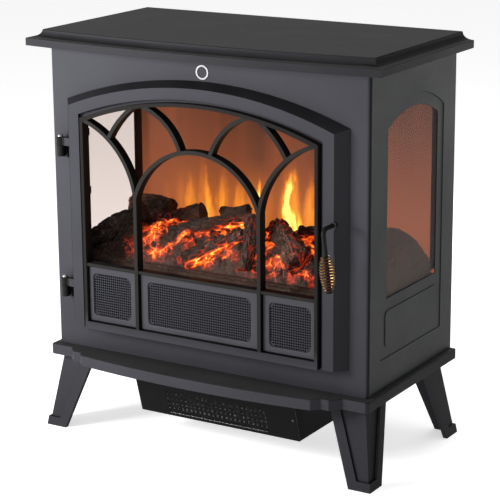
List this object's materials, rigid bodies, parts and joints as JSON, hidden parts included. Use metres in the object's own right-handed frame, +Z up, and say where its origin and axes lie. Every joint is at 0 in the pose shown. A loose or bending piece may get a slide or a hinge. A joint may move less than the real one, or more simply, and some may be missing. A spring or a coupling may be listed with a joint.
{
  "type": "electric fireplace",
  "caption": "Compact free-standing electric stove heater with an arched glazed door, side windows, splayed feet, a lit log set and a fan heater under the base.",
  "frame": {"origin": "on the floor, under the middle of the object's bounding box", "axes": "+Z up, the door faces -Y, +X to the right of someone facing the door"},
  "size_m": [0.635, 0.363, 0.663],
  "materials": {
    "black_metal": "satin black paint",
    "hidden_steel": "matt black paint",
    "black_casting": "satin black painted casting",
    "grille_metal": "matt black perforated sheet",
    "clear_glass": "clear",
    "clip_steel": "bare",
    "badge": "grey satin",
    "log_resin": "charred wood look",
    "ember_resin": "glowing ember look",
    "screen": "copper brown sheet",
    "circuit_board": "satin",
    "rotor_metal": "bright",
    "motor": "satin",
    "element": "matt",
    "black_plastic": "fine texture",
    "lamp": "clear",
    "zinc": "plated",
    "magnet": "matt",
    "handle_black": "satin black",
    "handle_brass": "warm satin"
  },
  "bodies": {
    "cabinet": {"top_slab": "black_metal", "front_panel": "black_metal", "left_side_panel": "black_metal", "right_side_panel": "black_metal", "base_plinth": "black_metal", "top_deck": "hidden_steel", "back_panel": "hidden_steel", "firebox_floor": "hidden_steel", "heater_box": "hidden_steel", "outlet_grille": "hidden_steel", "control_panel": "hidden_steel", "rotor_brackets": "hidden_steel", "blower_scroll": "hidden_steel", "front_left_foot": "black_casting", "front_right_foot": "black_casting", "rear_left_foot": "black_casting", "rear_right_foot": "black_casting", "hinge_brackets": "black_casting", "left_side_glass": "clear_glass", "right_side_glass": "clear_glass", "side_glass_clips": "clip_steel", "badge_ring": "badge", "left_log": "log_resin", "right_end_log": "log_resin", "standing_log": "log_resin", "right_log": "log_resin", "upper_log": "log_resin", "middle_log": "log_resin", "front_log": "log_resin", "back_logs": "log_resin", "ember_bed": "ember_resin", "flame_screen": "screen", "led_boards": "circuit_board", "flame_motor": "motor", "blower_motor": "motor", "heating_element": "element", "switch_housings": "black_plastic", "thermostat_body": "black_plastic", "cord_gland": "black_plastic", "thermal_cutout": "black_plastic", "indicator_lens": "lamp", "fixing_screws": "zinc", "hinge_pins": "zinc", "door_magnet": "magnet"},
    "door": {"door_frame": "black_casting", "door_tracery": "black_casting", "door_glass": "clear_glass", "left_grille": "grille_metal", "centre_grille": "grille_metal", "right_grille": "grille_metal", "glass_retainers": "clip_steel", "strike_plate": "clip_steel"},
    "handle": {"handle_rod": "handle_black", "handle_coil": "handle_brass"},
    "rotor": {"flame_rotor": "rotor_metal"},
    "blower": {"blower_wheel": "rotor_metal"},
    "flame_switch": {"flame_rocker": "black_plastic"},
    "heat_switch": {"heat_rocker": "black_plastic"},
    "thermostat": {"thermostat_knob": "black_plastic"}
  },
  "joints": [
    {"name": "door_swing", "type": "hinge", "parent": "cabinet", "child": "door", "pos_m": [-0.264, -0.13123, 0.35], "axis": [0, 0, -1], "range_deg": [0, 110]},
    {"name": "handle_turn", "type": "hinge", "parent": "door", "child": "handle", "pos_m": [0.238, -0.13922, 0.411], "axis": [0, -1, 0], "range_deg": [0, 80]},
    {"name": "flame_switch_tilt", "type": "hinge", "parent": "cabinet", "child": "flame_switch", "pos_m": [-0.048, -0.09922, 0.235], "axis": [1, 0, 0], "range_deg": [0, 14]},
    {"name": "heat_switch_tilt", "type": "hinge", "parent": "cabinet", "child": "heat_switch", "pos_m": [-0.016, -0.09922, 0.235], "axis": [1, 0, 0], "range_deg": [0, 14]},
    {"name": "thermostat_turn", "type": "hinge", "parent": "cabinet", "child": "thermostat", "pos_m": [0.042, -0.10723, 0.235], "axis": [0, 1, 0], "range_deg": [0, 270]},
    {"name": "blower_spin", "type": "hinge", "parent": "cabinet", "child": "blower", "pos_m": [0, -0.00122, 0.086], "axis": [1, 0, 0], "continuous": true},
    {"name": "flame_rotor_spin", "type": "hinge", "parent": "cabinet", "child": "rotor", "pos_m": [0, 0.14877, 0.25], "axis": [1, 0, 0], "continuous": true}
  ]
}
